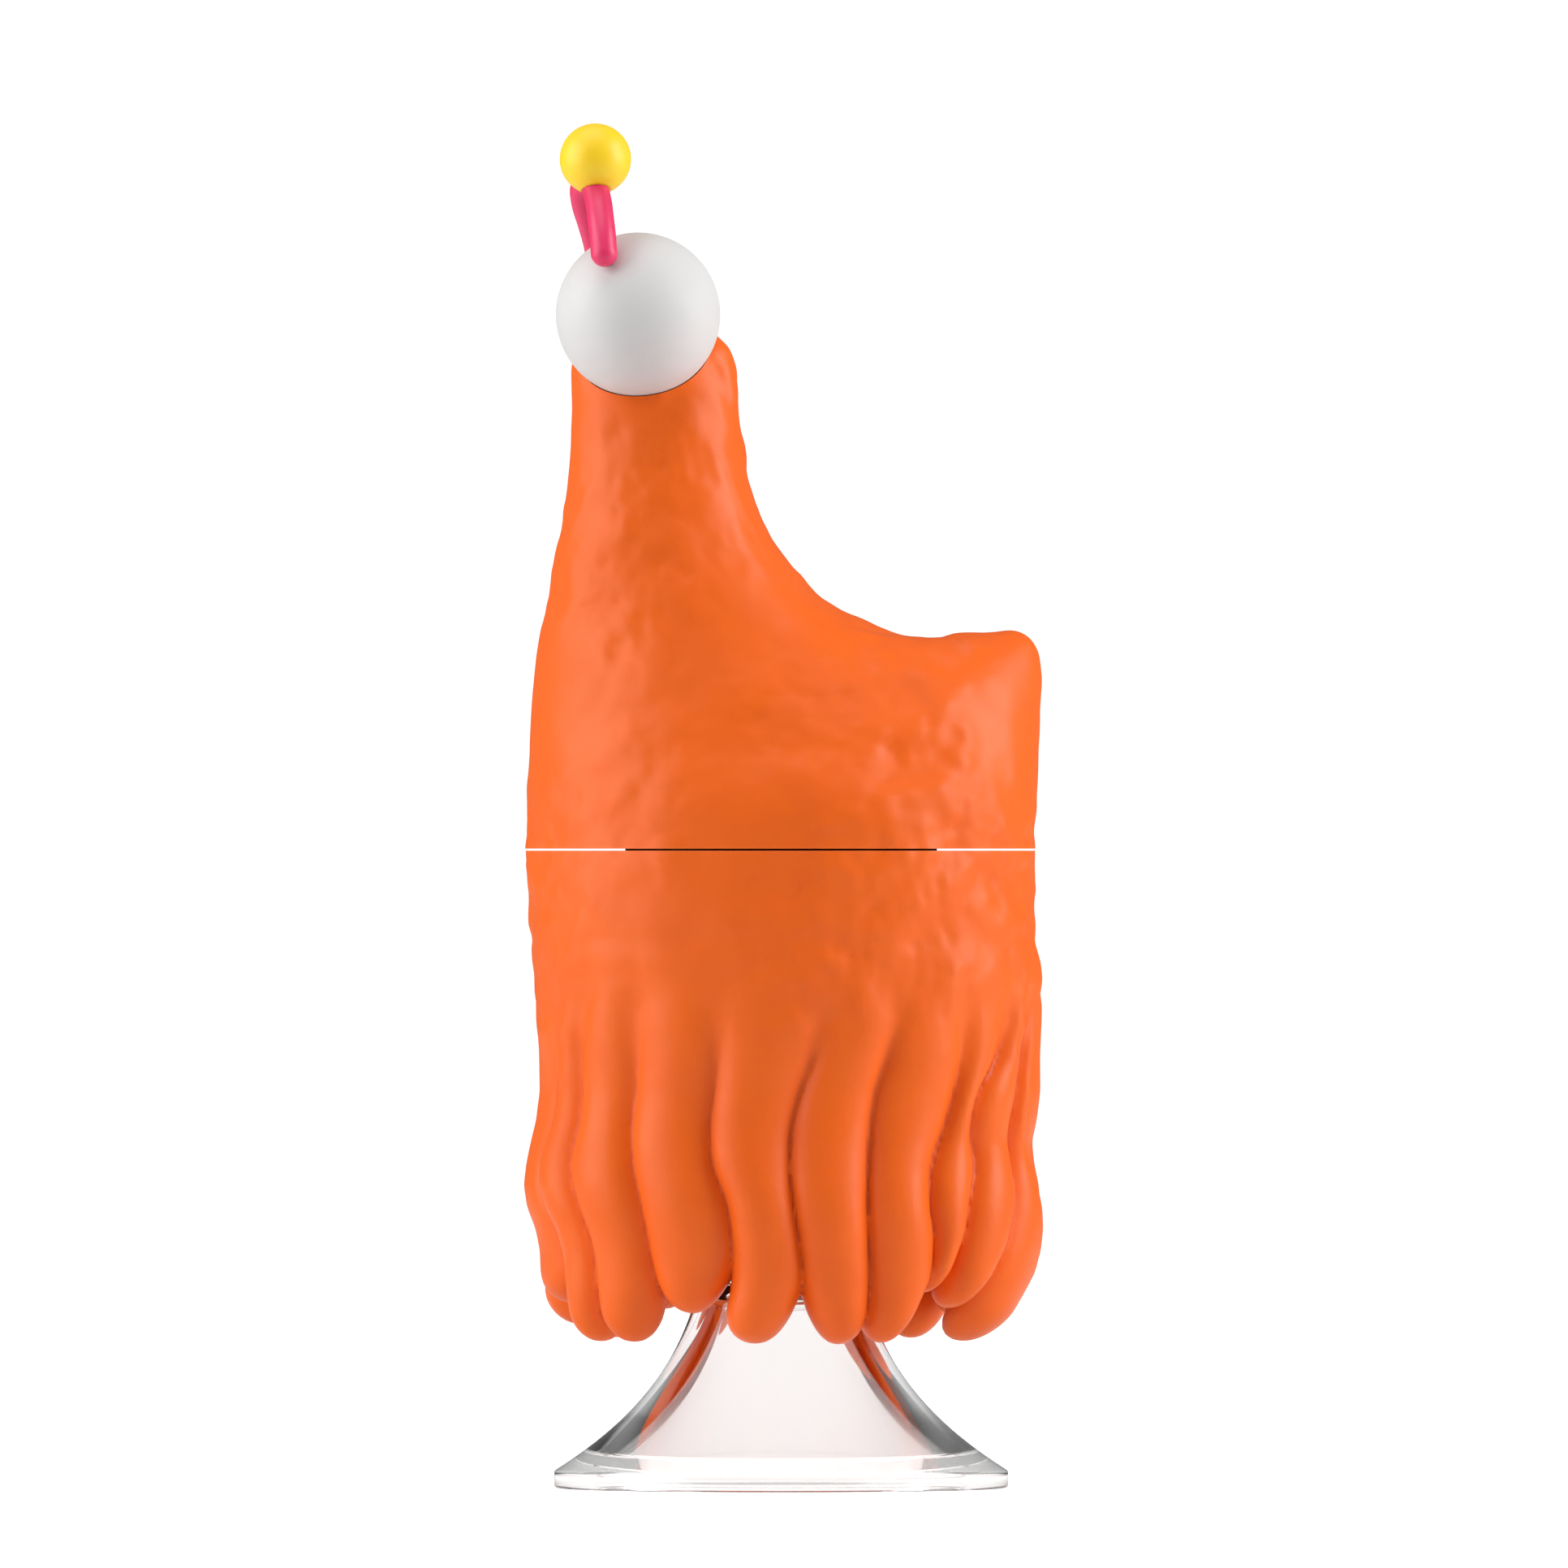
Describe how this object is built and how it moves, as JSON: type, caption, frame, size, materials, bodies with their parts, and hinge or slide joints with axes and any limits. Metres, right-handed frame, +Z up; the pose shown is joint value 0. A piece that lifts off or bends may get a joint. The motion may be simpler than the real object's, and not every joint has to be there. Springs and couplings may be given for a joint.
{
  "type": "rubber chicken",
  "caption": "Stylised rubber chicken: hollow orange rubber body in two halves on a clear flared foot, with a lift-off neck-and-tail half, white head ball, bent comb and yellow bobble.",
  "frame": {"origin": "middle of the flat ring that the clear foot stands on, on the axis shared by the foot, the liner and the collar", "axes": "+Z up; +X from the breast to the tail; +Y away from the side that the near end of the comb hangs on"},
  "size_m": [0.1441, 0.126, 0.378],
  "materials": {
    "clear_moulding": "polished clear moulding",
    "orange_rubber": "satin, softly lumpy cast surface",
    "orange_plastic": "satin",
    "white_ball": "matte",
    "pink_comb": "satin",
    "yellow_bobble": "satin",
    "black_rubber": "matte",
    "natural_plastic": "satin",
    "brass": "bright turned",
    "steel": "zinc plated",
    "beech": "plain turned dowel"
  },
  "bodies": {
    "base": {"pedestal_foot": "clear_moulding", "clamp_washer": "steel", "clamp_nut": "brass", "liner_collar": "orange_plastic", "lower_body": "orange_rubber"},
    "seal": {"collar_seal": "black_rubber"},
    "upper": {"upper_body": "orange_rubber", "socket_cup": "orange_plastic", "squeaker_body": "natural_plastic", "squeaker_reed": "brass", "squeaker_cap": "natural_plastic", "head_ball": "white_ball", "head_insert": "brass", "head_washer": "steel", "head_screw": "steel", "comb": "pink_comb", "comb_dowel_front": "beech", "comb_dowel_back": "beech", "bobble": "yellow_bobble", "bobble_dowel": "beech"}
  },
  "joints": [
    {"name": "lid_turn", "type": "hinge", "parent": "base", "child": "seal", "pos_m": [0, 0, 0.184], "axis": [0, 0, 1], "continuous": true},
    {"name": "lid_lift", "type": "slide", "parent": "seal", "child": "upper", "axis": [0, 0, 1], "range_m": [0, 0.08]}
  ]
}
